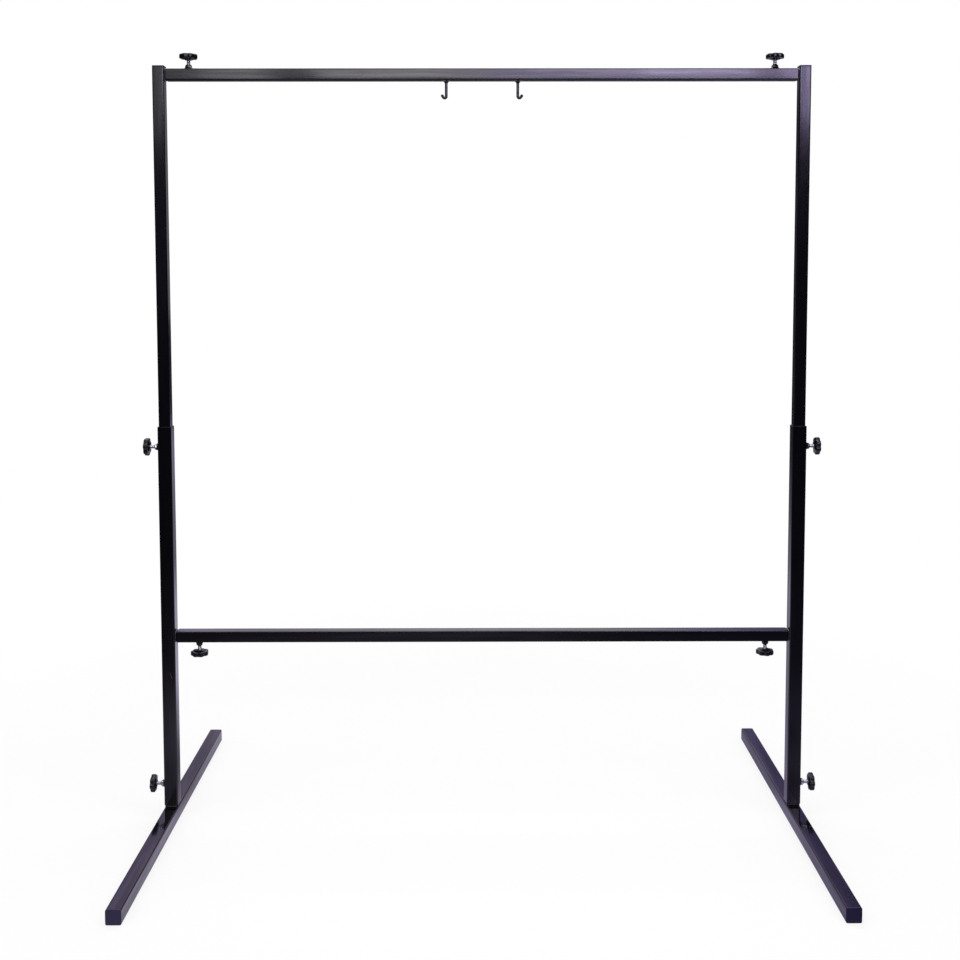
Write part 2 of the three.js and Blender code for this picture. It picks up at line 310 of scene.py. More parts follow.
def plug_shell(size, corner):
    """An end plug: a crowned cap with rounded edges, and a hollow skirt with three fins."""
    inside = size - 2 * (TUBE_WALL + PLUG_FIT)
    root = inside - 2 * PLUG_FIN
    hollow = root - 2 * PLUG_SKIRT_WALL
    table = [
        (hollow / 4, BORE_CORNER, PLUG_FLOOR), (hollow, BORE_CORNER, PLUG_FLOOR),
        (hollow, BORE_CORNER, -PLUG_SKIRT_DEPTH), (root, PLUG_SKIRT_CORNER, -PLUG_SKIRT_DEPTH),
        (root, PLUG_SKIRT_CORNER, PLUG_SKIRT_LEAD - PLUG_SKIRT_DEPTH)]
    for depth in PLUG_FIN_DEPTHS:
        table += [
            (inside, PLUG_FIN_CORNER, -depth), (root, PLUG_SKIRT_CORNER, PLUG_FIN_BACK - depth),
            (root, PLUG_SKIRT_CORNER, PLUG_FIN_GAP - depth)]
    table += [(root, PLUG_SKIRT_CORNER, 0.0), (size, corner, 0.0), (size, corner, PLUG_SEAT)]
    edge_top = PLUG_CAP - PLUG_CROWN
    for t in np.linspace(0, QUARTER, PLUG_EDGE_ROWS):
        inset = PLUG_EDGE * (1 - math.cos(t))
        table.append((size - 2 * inset, corner - inset, edge_top - PLUG_EDGE * (1 - math.sin(t))))
    top = size - 2 * PLUG_EDGE
    for share in PLUG_CROWN_SHARES:
        table.append((top * share, (corner - PLUG_EDGE) * share, PLUG_CAP - PLUG_CROWN * share ** 2))
    return square_rows(table)


# Weld beads


def ripples(distance, pitch):
    """Scale-like ripples of a weld run: a cusp at every pitch, uneven by two slow waves."""
    wave = np.abs(np.sin(math.pi * distance / pitch))
    slow = sum(height * np.sin(distance * rate + start) for height, rate, start in SLOW_WAVES)
    return wave + SLOW_SHARE * slow


def square_bead(size, corner, height, width):
    """A weld bead round a square spigot's root: a bulging three-cornered section carried round
    the outline, whose leg lengths ripple along the run."""
    place, outward, around = square_path(size, corner, BEAD_STEPS)
    distance = np.arange(len(place)) * around / len(place)
    swell = 1 + BEAD_RIPPLE_SHARE * (ripples(distance, BEAD_PITCH) - 1)
    turn = np.linspace(0, QUARTER, BEAD_ARC_POINTS)
    reach = np.concatenate([[-BEAD_SINK], width * np.cos(turn) ** BEAD_BULGE, [-BEAD_SINK]])
    rise = np.concatenate([[0.0], height * np.sin(turn) ** BEAD_BULGE, [height * BEAD_TOP_SHARE]])
    grow = np.concatenate([[0.0], np.ones(len(turn)), [0.0]])
    scale = 1 + (swell[:, None] - 1) * grow[None, :]
    offset = reach[None, :] * scale
    points = place[:, None, :] + outward[:, None, :] * offset[:, :, None]
    return np.dstack([points, np.minimum(rise[None, :] * scale, height)])


def weld_face(root, shaft, height):
    """Radius and height along a weld's face: a shallow parabola from the root to the shaft,
    drawn in at its middle."""
    along = np.linspace(0, 1, WELD_FACE_POINTS)
    drawn_in = 2 * WELD_HOLLOW_SHARE * along * (1 - along)
    return shaft + (root - shaft) * (1 - along - drawn_in), height * (along - drawn_in)


def round_bead(root, shaft, height):
    """A weld round a rod: its face goes round the shaft, with ripples that fade up the face."""
    angle = circle(ROUND_BEAD_STEPS)
    radius, rise = weld_face(root, shaft, height)
    ripple = HOOK_RIPPLE_SHARE * (ripples(angle * root, HOOK_WELD_PITCH) - 1)
    radius = radius[None, :] * (1 + ripple[:, None] * np.linspace(1, 0, len(rise))[None, :])
    inner = np.full((len(angle), 1), shaft - BEAD_SINK)
    radius = np.hstack([inner, np.maximum(radius, shaft - BEAD_SINK / 2), inner])
    rise = np.concatenate([[0.0], rise, [height * HOOK_BEAD_TOP_SHARE]])
    return np.dstack([
        radius * np.cos(angle)[:, None],
        radius * np.sin(angle)[:, None],
        np.broadcast_to(rise, radius.shape),
    ])


# Clamp screws. Each stands on the tube's face at z = 0.


def nut_shell():
    """A hexagon nut in its weld. Round the nut the radius is the larger of the hexagon and the
    weld's face; then come the chamfer's cone, cut by the hexagon, the top face and the bore."""
    angle = circle(NUT_STEPS)
    hexagon = NUT_FLATS / 2 / np.cos((angle + math.pi / 6) % (math.pi / 3) - math.pi / 6)
    corner = NUT_FLATS / math.sqrt(3)
    weld_ripple = NUT_RIPPLE_SHARE * (ripples(angle * NUT_WELD_RADIUS, NUT_WELD_PITCH) - 1)
    rows = [(NUT_BORE, 0.0)]
    face_radius, face_height = weld_face(NUT_WELD_RADIUS, NUT_FLATS / 2, NUT_WELD_HEIGHT)
    for radius, height in zip(face_radius, face_height):
        uneven = radius * (1 + weld_ripple * (1 - height / NUT_WELD_HEIGHT))
        rows.append((np.maximum(uneven, hexagon), height))
    for share in np.linspace(NUT_CHAMFER_FIRST_SHARE, 1, NUT_CHAMFER_ROWS):
        cone = corner + (NUT_FACE - corner) * share
        rows.append((np.minimum(hexagon, cone), NUT_HEIGHT - NUT_CHAMFER_HEIGHT * (1 - share)))
    rows += [(NUT_BORE + NUT_BORE_EDGE, NUT_HEIGHT), (NUT_BORE, NUT_HEIGHT - NUT_BORE_EDGE)]
    return np.stack([ring(angle, radius, height) for radius, height in rows])


def stud_shell(tip, end):
    """A threaded rod: the groove's depth rises and falls once a pitch, and its place moves
    round by one turn a pitch. Both ends are chamfered."""
    angle = circle(ROD_STEPS)
    height = np.arange(tip, end, STUD_PITCH / STUD_ROWS_TO_PITCH)
    height = np.append(height[height < end - STUD_LAST_STEP], end)
    phase = (height[:, None] / STUD_PITCH - angle[None, :] / TURN) % 1
    groove = np.clip(STUD_FLANK * (1 - np.abs(2 * phase - 1)) - STUD_LAND, 0, 1)
    radius = STUD_RADIUS - STUD_CREST - STUD_GROOVE * groove
    from_end = np.minimum(height - tip, end - height)[:, None]
    radius = np.minimum(radius, STUD_RADIUS - STUD_CHAMFER + from_end)
    return np.dstack([
        radius * np.cos(angle), radius * np.sin(angle), np.broadcast_to(height[:, None], radius.shape)])


def knob_shell():
    """A seven-lobed knob. Each row mixes a circle with the star outline less an inset: the bore,
    the hub's face and cone, the rim's back edge, side and softly rounded front, and the dish."""
    angle = circle(KNOB_LOBES * STEPS_TO_LOBE)
    dip = KNOB_DIP * ((1 - np.cos(KNOB_LOBES * angle)) / 2) ** KNOB_DIP_POWER
    star = KNOB_RADIUS - dip
    hub = KNOB_STAND_OFF
    back = hub + KNOB_HUB
    front = back + KNOB_RIM
    edge_width, edge_height = KNOB_HUB_EDGE
    rows = [
        (KNOB_BORE, 0, 0, hub + KNOB_BORE_DEPTH), (KNOB_BORE, 0, 0, hub + KNOB_BORE_EDGE),
        (KNOB_BORE + KNOB_BORE_EDGE, 0, 0, hub), (KNOB_HUB_FACE - edge_width, 0, 0, hub),
        (KNOB_HUB_FACE, 0, 0, hub + edge_height)]
    for share in KNOB_HUB_SHARES:
        radius = KNOB_HUB_FACE + (KNOB_HUB_BASE - KNOB_HUB_FACE) * share
        rise = (KNOB_HUB - edge_height) * share ** KNOB_HUB_POWER
        rows.append((radius, 0, 0, hub + edge_height + rise))
    for t in np.linspace(0, QUARTER, KNOB_BACK_ROWS):
        inset = KNOB_BACK_EDGE * (1 - math.sin(t))
        rise = (KNOB_BACK_EDGE - KNOB_BACK_STEP) * (1 - math.cos(t))
        rows.append((0, 1, inset, back + KNOB_BACK_STEP + rise))
    for t in np.linspace(0, QUARTER, KNOB_FRONT_ROWS):
        inset = KNOB_FRONT_EDGE * (1 - math.cos(t))
        rows.append((0, 1, inset, front - KNOB_FRONT_EDGE * (1 - math.sin(t))))
    edge_width, edge_height = KNOB_DISH_EDGE
    rows += [
        (KNOB_DISH_RADIUS + KNOB_DISH_LAND, 0, 0, front),
        (KNOB_DISH_RADIUS + edge_width, 0, 0, front - edge_height),
        (KNOB_DISH_RADIUS - edge_width, 0, 0, front - KNOB_DISH + edge_height)]
    for share in KNOB_DISH_SHARES:
        rows.append((KNOB_DISH_RADIUS * share, 0, 0, front - KNOB_DISH))
    grid = []
    for round_radius, lobed, inset, height in rows:
        plain = np.minimum(round_radius, star - KNOB_BACK_EDGE - KNOB_BACK_MARGIN)
        grid.append(ring(angle, plain + (star - inset - plain) * lobed, height))
    return np.stack(grid)


def hook_shell():
    """A round rod along a path of three parts: the shank down, a bend about a centre beside it,
    and the rising tip, whose end is domed. Local z runs down from the bar."""
    shank = HOOK_DROP - HOOK_ROD - HOOK_BEND
    sweep = QUARTER + HOOK_RISE
    turns = sweep * HOOK_BEND
    dome = np.linspace(0, QUARTER, HOOK_DOME_ROWS)[1:]
    distance = np.concatenate([
        np.linspace(0, shank, HOOK_SHANK_ROWS), shank + np.linspace(0, turns, HOOK_BEND_ROWS)[1:],
        [shank + turns + HOOK_TIP / 2, shank + turns + HOOK_TIP - HOOK_DOME],
        shank + turns + HOOK_TIP - HOOK_DOME * (1 - np.sin(dome))])
    narrowing = np.maximum(np.cos(dome), HOOK_LAST_SHARE)
    girth = np.concatenate([np.ones(len(distance) - len(dome)), narrowing])
    bent = np.clip((distance - shank) / HOOK_BEND, 0, sweep)
    beyond = np.maximum(distance - shank - turns, 0)
    x = HOOK_BEND * (1 - np.cos(bent)) + beyond * math.cos(HOOK_RISE)
    z = np.minimum(distance, shank) + HOOK_BEND * np.sin(bent) - beyond * math.sin(HOOK_RISE)
    angle = circle(ROD_STEPS)
    out = HOOK_ROD * girth[:, None] * np.cos(angle)[None, :]
    side = HOOK_ROD * girth[:, None] * np.sin(angle)[None, :]
    return np.dstack([
        x[:, None] + out * np.cos(bent)[:, None], side, z[:, None] - out * np.sin(bent)[:, None]])


# Finishes


class Wire:
    """The output of a node. Sums and products of it add their Math nodes."""

    def __init__(self, finish, socket):
        self.finish = finish
        self.socket = socket

    def maths(self, operation, first, second):
        return self.finish.node("ShaderNodeMath", {"operation": operation}, {0: first, 1: second})

    def __add__(self, other):
        return self.maths("ADD", self, other)

    def __sub__(self, other):
        return self.maths("SUBTRACT", self, other)

    def __rsub__(self, other):
        return self.maths("SUBTRACT", other, self)

    def __mul__(self, other):
        return self.maths("MULTIPLY", self, other)

    def __abs__(self):
        return self.finish.node("ShaderNodeMath", {"operation": "ABSOLUTE"}, {0: self})

    def above(self, low, high):
        """0 below low, 1 above high, and a smooth step between them."""
        return self.finish.node(
            "ShaderNodeMapRange", {"interpolation_type": "SMOOTHSTEP"},
            {"Value": self, "From Min": low, "From Max": high, "To Min": 0.0, "To Max": 1.0})

    __radd__ = __add__
    __rmul__ = __mul__


class Finish:
    """A node tree and the patterns drawn in it."""

    def __init__(self, owner):
        owner.use_nodes = True
        self.tree = owner.node_tree
        self.tree.nodes.clear()

    def node(self, kind, settings=None, inputs=None, output=0):
        """Adds a node: its settings first, then the values or links of its sockets."""
        made = self.tree.nodes.new(kind)
        for key, value in (settings or {}).items():
            setattr(made, key, value)
        for key, value in (inputs or {}).items():
            if isinstance(value, Wire):
                self.tree.links.new(value.socket, made.inputs[key])
            else:
                made.inputs[key].default_value = value
        return Wire(self, made.outputs[output]) if made.outputs else None

    def place(self, stretch=(1, 1, 1)):
        """Object coordinates, scaled along each axis."""
        coordinates = self.node("ShaderNodeTexCoord", output="Object")
        return self.node("ShaderNodeMapping", inputs={"Vector": coordinates, "Scale": stretch})

    def parts(self, vector):
        """A vector's x, y and z."""
        return [self.node("ShaderNodeSeparateXYZ", inputs={0: vector}, output=k) for k in range(3)]

    def patch(self, centre, reach, turn=(0, 0, 0), softness=0.5):
        """1 in the middle of a patch and 0 outside it. Its centre and reach are in metres."""
        coordinates = self.node("ShaderNodeTexCoord", output="Object")
        local = self.node("ShaderNodeMapping", {"vector_type": "TEXTURE"}, {
            "Vector": coordinates, "Location": centre, "Rotation": turn, "Scale": reach})
        away = self.node("ShaderNodeVectorMath", {"operation": "LENGTH"}, {0: local}, output="Value")
        return 1 - away.above(1 - softness, 1.0)

    def noise(self, scale, detail=2.0, stretch=(1, 1, 1)):
        """Cloudy noise from 0 to 1, with that many features to the metre."""
        return self.node(
            "ShaderNodeTexNoise", inputs={"Vector": self.place(stretch), "Scale": scale, "Detail": detail})

    def blend(self, share, first, second):
        """A colour between two."""
        return self.node(
            "ShaderNodeMix", {"data_type": "RGBA"}, {"Factor": share, 6: first, 7: second}, output=2)

    def bump(self, height, depth):
        """Surface relief: height times depth, in metres."""
        return self.node(
            "ShaderNodeBump", inputs={"Strength": 1.0, "Distance": depth, "Height": height})

    def glow(self, kind, colour, strength=1.0):
        """An even glow, of a surface (Emission) or of the sky (Background)."""
        return self.node("ShaderNode" + kind, inputs={"Color": (*colour, 1), "Strength": strength})

    def mix(self, share, first, second):
        """A shader between two."""
        return self.node("ShaderNodeMixShader", inputs={0: share, 1: first, 2: second})

    def ray(self, kind):
        """1 for a ray of that kind and 0 for others."""
        return self.node("ShaderNodeLightPath", output="Is " + kind + " Ray")


def surface(name, **sockets):
    """A material with one Principled shader, whose sockets draw(finish) may fill."""
    material = bpy.data.materials.new(name)
    finish = Finish(material)
    draw = sockets.pop("draw")
    inputs = {key.replace("_", " "): value for key, value in sockets.items()}
    inputs.update(draw(finish))
    shader = finish.node("ShaderNodeBsdfPrincipled", inputs=inputs)
    finish.node("ShaderNodeOutputMaterial", inputs={"Surface": shader})
    return material


# Colours of the finishes, linear
PAINT_DARK, PAINT_LIGHT = (0.0013, 0.0012, 0.0018, 1), (0.0024, 0.0022, 0.0032, 1)
PAINT_TINT = (0.95, 0.92, 1.0, 1)
PAINT_SCUFFED = (0.07, 0.068, 0.075, 1)
BARE_METAL = (0.8, 0.8, 0.83, 1)
KNOB_DARK, KNOB_LIGHT = (0.002, 0.002, 0.0025, 1), (0.005, 0.005, 0.006, 1)
PLUG_DARK, PLUG_LIGHT = (0.008, 0.0055, 0.03, 1), (0.0125, 0.0085, 0.044, 1)
ZINC_DARK, ZINC_LIGHT = (0.7, 0.7, 0.73, 1), (0.86, 0.86, 0.9, 1)

# Depths of the finishes' relief, in metres
PAINT_RELIEF, ZINC_RELIEF = 0.000004, 0.000004
KNOB_RELIEF, PLUG_RELIEF = 0.000002, 0.000003

GLOSS_IOR = 1.5
PAINT_ROUGHNESS, FOOT_ROUGHNESS = 0.1, 0.05
DRAWN = 0.06  # how much the grain is stretched along a tube


def powder_coat(name, along=None, marks=(), bare=(), roughness=PAINT_ROUGHNESS):
    """Black powder coat: fine orange peel, a faint drawn grain and glossier streaks along the
    tube, soft mottling and a few specks of dust. Marks are scuffs. Bare patches show metal, as
    much of it as their strength says."""
    stretch = tuple(DRAWN if axis == along else 1 for axis in "xyz")

    def draw(finish):
        peel = finish.noise(750.0, 2.0)
        grain = finish.noise(160.0, 3.0, stretch)
        mottle = finish.noise(14.0, 3.0)
        dust = finish.noise(340.0, 1.0).above(0.76, 0.82)
        streaks = finish.noise(90.0, 3.0, stretch).above(0.4, 0.62)
        worn = 0.35 * dust
        for strength, *shape in marks:
            worn = worn + strength * finish.patch(*shape)
        coat = finish.blend(mottle, PAINT_DARK, PAINT_LIGHT)
        coat = finish.blend(worn, coat, PAINT_SCUFFED)
        sockets = {
            "Base Color": coat,
            "Roughness": roughness + 0.05 * mottle + 0.04 * grain + 0.15 * worn,
            "Coat Weight": 0.3 * streaks,
            "Normal": finish.bump(0.7 * peel + 0.3 * grain, PAINT_RELIEF),
        }
        if bare:
            metal = 0.0
            for strength, *shape in bare:
                metal = metal + strength * finish.patch(*shape)
            sockets["Base Color"] = finish.blend(metal, coat, BARE_METAL)
            sockets["Metallic"] = metal
        return sockets

    return surface(name, IOR=GLOSS_IOR, Specular_Tint=PAINT_TINT, Coat_Roughness=0.08, draw=draw)


def moulded(name, dark, light, roughness, depth):
    """Moulded plastic with a fine spark-eroded texture and slight cloudiness."""

    def draw(finish):
        texture = finish.noise(2600.0, 1.0)
        cloud = finish.noise(60.0, 3.0)
        return {
            "Base Color": finish.blend(cloud, dark, light),
            "Roughness": roughness + 0.08 * (cloud - 0.5),
            "Normal": finish.bump(texture, depth),
        }

    return surface(name, IOR=GLOSS_IOR, draw=draw)


def zinc_plate(name):
    """Bright zinc on rolled thread: metal with cloudy gloss and fine rolling marks."""

    def draw(finish):
        cloud = finish.noise(300.0, 3.0)
        marks = finish.noise(1800.0, 2.0)
        return {
            "Base Color": finish.blend(cloud, ZINC_DARK, ZINC_LIGHT),
            "Roughness": 0.22 + 0.12 * cloud,
            "Normal": finish.bump(marks, ZINC_RELIEF),
        }

    return surface(name, Metallic=1.0, draw=draw)


# Scuffs: their strength, middle, reach along each axis and turn. All in metres and radians.
post_scuffs = [
    (0.9, (-0.680, -0.015, 0.326), (0.0007, 0.002, 0.0108), (0, -0.38, 0)),
    (0.8, (-0.6735, -0.012, 1.299), (0.0012, 0.0012, 0.0016)),
]
foot_scuffs = [
    (0.3, (-0.684, 0.175, 0.03), (0.012, 0.0014, 0.002)),
    (0.5, (0.696, -0.075, 0.03), (0.0012, 0.014, 0.002), (0, 0, 0.1)),
    (0.5, (0.694, -0.112, 0.03), (0.001, 0.007, 0.002), (0, 0, -0.5)),
    (0.35, (0.684, -0.345, 0.03), (0.003, 0.001, 0.002), (0, 0, 0.4)),
    (0.4, (0.690, -0.366, 0.03), (0.0008, 0.005, 0.002), (0, 0, 0.5)),
    (0.35, (0.681, -0.378, 0.03), (0.0035, 0.0008, 0.002), (0, 0, -0.5)),
    (0.5, (0.688, -0.393, 0.03), (0.0008, 0.006, 0.002), (0, 0, -0.7)),
    (0.4, (0.693, -0.400, 0.03), (0.001, 0.0025, 0.002)),
    (0.5, (0.683, -0.410, 0.03), (0.004, 0.0008, 0.002), (0, 0, 0.8)),
    (0.45, (0.689, -0.418, 0.03), (0.0008, 0.005, 0.002), (0, 0, -0.3)),
]
# Where a nut's paint was scraped off to the metal: how much, middle and reach along each axis
scraped_nuts = [
    (0.8, (-0.7068, -0.004, 0.8305), (0.0045, 0.009, 0.0075)),
    (0.8, (-0.7068, -0.005, 0.0800), (0.0045, 0.009, 0.0090)),
    (0.8, (0.7068, -0.005, 0.0800), (0.0045, 0.009, 0.0090)),
    (0.12, (-0.6190, -0.006, 1.6405), (0.0060, 0.006, 0.0050)),
]
paint_along = {
    "x": powder_coat("powder_coat_along_x", "x"),
    "y": powder_coat("powder_coat_along_y", "y", foot_scuffs, roughness=FOOT_ROUGHNESS),
    "z": powder_coat("powder_coat_along_z", "z", post_scuffs),
}
paint = powder_coat("powder_coat", bare=scraped_nuts)
knob_plastic = moulded("knob_plastic", KNOB_DARK, KNOB_LIGHT, 0.2, KNOB_RELIEF)
plug_plastic = moulded("plug_plastic", PLUG_DARK, PLUG_LIGHT, 0.34, PLUG_RELIEF)
zinc = zinc_plate("zinc_plate")


# Pieces

body_of = {
    node: body
    for body, nodes in frame["record"]["behaviour"]["bodies"].items() for node in nodes
}


def fit(piece, node):
    """The piece stands for the model's node and moves with its body."""
    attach(piece, body_of[node])
    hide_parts(node)


def middle_and_reach(node, outward):
    """A node's middle, and how far it reaches from there along the outward axis, in metres."""
    low, high = (np.array(corner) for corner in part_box(node))
    return (low + high) / 2, abs(np.dot(high - low, outward)) / 2


def build_tube(node, axis, corner):
    """A tube along one axis, as long and as wide as the node."""
    low, high = (np.array(corner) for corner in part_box(node))
    along = np.eye(3)["xyz".index(axis)]
    across = np.eye(3)[("xyz".index(axis) + 1) % 3]
    span = (high - low) / MM
    length = float(span @ along)
    size = float(span @ across)
    origin = (low + high) / 2 - along * length * MM / 2
    points = in_place(tube_shell(size, corner, length), origin, along, across)
    fit(make_piece(node + "_tube", [shell(points, joined=True)], paint_along[axis]), node)


for side in ("left", "right"):
    build_tube(side + "_foot", "y", OUTER_CORNER)
    build_tube(side + "_lower_post", "z", OUTER_CORNER)
    build_tube(side + "_upper_post", "z", INNER_CORNER)
build_tube("top_crossbar", "x", INNER_CORNER)
build_tube("lower_crossbar", "x", INNER_CORNER)


def build_plug(node, size, corner, outward):
    """An end plug whose cap ends where the node does, in the outward direction."""
    middle, reach = middle_and_reach(node, outward)
    origin = middle + np.array(outward) * (reach - PLUG_CAP * MM)
    points = in_place(plug_shell(size, corner), origin, outward, (1, 0, 0))
    fit(make_piece(node + "_cap", [shell(points)], plug_plastic), node)


for side in ("left", "right"):
    build_plug(side + "_foot_front_plug", OUTER_TUBE, OUTER_CORNER, (0, -1, 0))
    build_plug(side + "_foot_rear_plug", OUTER_TUBE, OUTER_CORNER, (0, 1, 0))
    build_plug(side + "_post_plug", INNER_TUBE, INNER_CORNER, (0, 0, 1))


def build_spigot(node, size, corner, bead, outward, across, axis):
    """A spigot that stands out from its root, with a weld bead round the root."""
    middle, reach = middle_and_reach(node, outward)
    origin = middle - np.array(outward) * reach
    tube = in_place(tube_shell(size, corner, 2 * reach / MM), origin, outward, across)
    run = in_place(square_bead(size, corner, *bead), origin, outward, across)
    shells = [shell(tube, joined=True), shell(run, joined=True)]
    fit(make_piece(node + "_welded", shells, paint_along[axis]), node)


for side, inward in (("left", 1), ("right", -1)):
    build_spigot(
        side + "_foot_spigot", INNER_TUBE, INNER_CORNER, FOOT_BEAD, (0, 0, 1), (1, 0, 0), "z")
    for bar in ("lower", "top"):
        build_spigot(
            side + "_" + bar + "_bar_spigot", SPIGOT_TUBE, SPIGOT_CORNER, BAR_BEAD,
            (inward, 0, 0), (0, 1, 0), "x")


# How each clamp screw points, what its local x follows, and how far its knob was turned when
# it was tightened, as a share of a lobe's pitch.
clamps = {
    "left_base": ((-1, 0, 0), (0, 0, 1), 0.1),
    "left_mast": ((-1, 0, 0), (0, 0, 1), 0.45),
    "right_base": ((1, 0, 0), (0, 0, 1), 0.7),
    "right_mast": ((1, 0, 0), (0, 0, 1), 0.2),
    "left_lower_bar": ((0, 0, -1), (1, 0, 0), 0.3),
    "right_lower_bar": ((0, 0, -1), (1, 0, 0), 0.6),
    "left_top_bar": ((0, 0, 1), (1, 0, 0), 0.85),
    "right_top_bar": ((0, 0, 1), (1, 0, 0), 0.0),
}


def turned(points, angle):
    """Points turned about the local z axis."""
    cosine, sine = math.cos(angle), math.sin(angle)
    return points @ np.array([[cosine, sine, 0], [-sine, cosine, 0], [0, 0, 1]])


def build_clamp(name, outward, across, knob_turn_share):
    """A weld nut, a stud and a knob, placed from the tube's face under the nut."""
    middle, reach = middle_and_reach(name + "_weld_nut", outward)
    face = middle - np.array(outward) * reach
    nut = shell(in_place(nut_shell(), face, outward, across), joined=True)
    fit(make_piece(name + "_nut_and_weld", [nut], paint, SMOOTH_NUT), name + "_weld_nut")

    stud_middle, stud_reach = middle_and_reach(name + "_stud", outward)
    from_face = float(np.dot(stud_middle - face, outward)) / MM
    half = stud_reach / MM
    stud = shell(in_place(stud_shell(from_face - half, from_face + half), face, outward, across))
    fit(make_piece(name + "_threaded_stud", [stud], zinc, SMOOTH_THREAD), name + "_stud")

    turn = knob_turn_share * TURN / KNOB_LOBES
    knob = shell(in_place(turned(knob_shell(), turn), face, outward, across))
    fit(make_piece(name + "_star_knob", [knob], knob_plastic), name + "_knob")


for name, (outward, across, knob_turn_share) in clamps.items():
    build_clamp(name, outward, across, knob_turn_share)


def build_hook(side, sign):
    """A hook and its weld, whose tip points away from the stand's middle, to the sign's side."""
    low, high = (np.array(corner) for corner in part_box(side + "_gong_hook"))
    shank_x = (low[0] if sign > 0 else high[0]) + sign * HOOK_WELD_RADIUS * MM
    root = np.array([shank_x, (low[1] + high[1]) / 2, high[2]])
    down, tip_side = (0, 0, -1), (sign, 0, 0)
    rod = in_place(hook_shell(), root, down, tip_side)
    bead = in_place(round_bead(HOOK_WELD_RADIUS, HOOK_ROD, HOOK_WELD_HEIGHT), root, down, tip_side)
    shells = [shell(rod), shell(bead, joined=True)]
    fit(make_piece(side + "_hook_rod", shells, paint), side + "_gong_hook")


build_hook("left", -1)
build_hook("right", 1)


# The room: white paper underfoot, a pale sky behind, and dark behind the camera


FLOOR_REACH = 30.0
PAPER_GREY = (0.85, 0.85, 0.85, 1)
UNLIT = (0.0, 0.0, 0.0)
WHITE = (1.0, 1.0, 1.0)
FLOOR_PALE, FLOOR_VIOLET = (0.83, 0.77, 1), (0.74, 0.66, 1)
SKY_PALE, SKY_VIOLET, SKY_DEEP = (0.93, 0.9, 1), (0.73, 0.6, 1), (0.55, 0.43, 1)

# Painted light and painted shadow in the floor's glow, which only reflections see: a painted pool of light
# behind the stand and painted shadows next to the posts and feet. Each row gives by how much, middle,
# reach and softness. The first table lies in front of the stand and the second under it and behind it.
front_painted_light_and_shadow = [
    (-0.15, (-0.77, -0.15, 0), (0.1, 0.25, 1), 0.5),
    (-0.13, (0.72, -0.53, 0), (0.16, 0.14, 1), 0.5),
]
rear_painted_light_and_shadow = [
    (0.95, (-0.42, 1.4, 0), (0.9, 1.2, 1), 1.0),
    (0.22, (-0.68, 0.5, 0), (0.1, 0.55, 1), 0.8),
    (-0.12, (0.68, 0.35, 0), (0.1, 0.4, 1), 0.8),
    (-0.12, (-0.59, 0.36, 0), (0.12, 0.24, 1), 0.8),
    (-0.14, (-0.72, -0.14, 0), (0.035, 0.07, 1), 0.5),
    (-0.12, (0.735, -0.18, 0), (0.05, 0.12, 1), 0.5),
]


def painted_floor_glow(finish, x, y):
    """The floor's painted glow, which reflections see in place of lamplight: a painted pool of light
    behind the stand and just in front of the feet, more on the left, with painted light and painted shadow
    near the posts, and dim beside the stand."""
    between = 1 + 0.45 * (1 - abs(x).above(0.62, 0.8))
    in_front = (0.36 - 0.17 * x.above(-0.4, 0.4)) * y.above(-1.2, -0.45) * (1 - y.above(-0.1, 0.2))
    in_front = in_front * between
    for strength, centre, reach, softness in front_painted_light_and_shadow:
        in_front = in_front + strength * finish.patch(centre, reach, softness=softness)
    middle = 0.23 * finish.patch((-0.2, -1.35, 0), (1.0, 0.6, 1), softness=1.0)
    far_behind = 0.02 + 0.45 * x.above(-0.9, 0.9) * (1 - y.above(6.0, 8.0))
    near_behind = (0.24 + 0.12 * x.above(-0.4, 0.4)) * y.above(-0.3, 0.3)
    lit = in_front + middle + near_behind + (far_behind - near_behind) * y.above(1.5, 4.0)
    for strength, centre, reach, softness in rear_painted_light_and_shadow:
        lit = lit + strength * finish.patch(centre, reach, softness=softness)
    beside = (abs(x) - 0.25 * y).above(1.2, 2.0)
    return 0.025 + 0.04 * y.above(-2.6, -1.2) * (1 - y.above(1.5, 4.0)) + lit * (1 - beside)


def paper_floor():
    """White paper that runs past the view. The camera sees it white with the stand's shadow. Reflections
    see a glow with painted pools of light and painted shadows, not lamplight."""
    mesh = bpy.data.meshes.new("paper_floor")
    reach = FLOOR_REACH
    corners = [(-reach, -reach, 0), (reach, -reach, 0), (reach, reach, 0), (-reach, reach, 0)]
    mesh.from_pydata(corners, [], [(0, 1, 2, 3)])
    floor = bpy.data.objects.new("paper_floor", mesh)
    bpy.context.scene.collection.objects.link(floor)
    material = bpy.data.materials.new("white_paper")
    finish = Finish(material)
    spot = finish.node("ShaderNodeTexCoord", output="Object")
    x, y, _ = finish.parts(spot)
    # What reflections see in the floor: a painted glow, pale on the left and violet on the right as if
    # violet lamps lit it there.
    pale = finish.glow("Emission", FLOOR_PALE, 1.22)
    violet = finish.glow("Emission", FLOOR_VIOLET, 1.42)
    bright = finish.mix(x.above(0.3, 0.7), pale, violet)
    mirrored = finish.mix(painted_floor_glow(finish, x, y), finish.glow("Emission", UNLIT), bright)
    lit = finish.node("ShaderNodeBsdfDiffuse", inputs={"Color": PAPER_GREY})
    white = finish.glow("Emission", WHITE)
    away = finish.node("ShaderNodeVectorMath", {"operation": "LENGTH"}, {0: spot}, output="Value")
    paper = finish.mix(0.8 + 0.2 * away.above(0.9, 1.9), lit, white)
    shown = finish.mix(finish.ray("Camera"), mirrored, paper)
    finish.node("ShaderNodeOutputMaterial", inputs={"Surface": shown})
    mesh.materials.append(material)


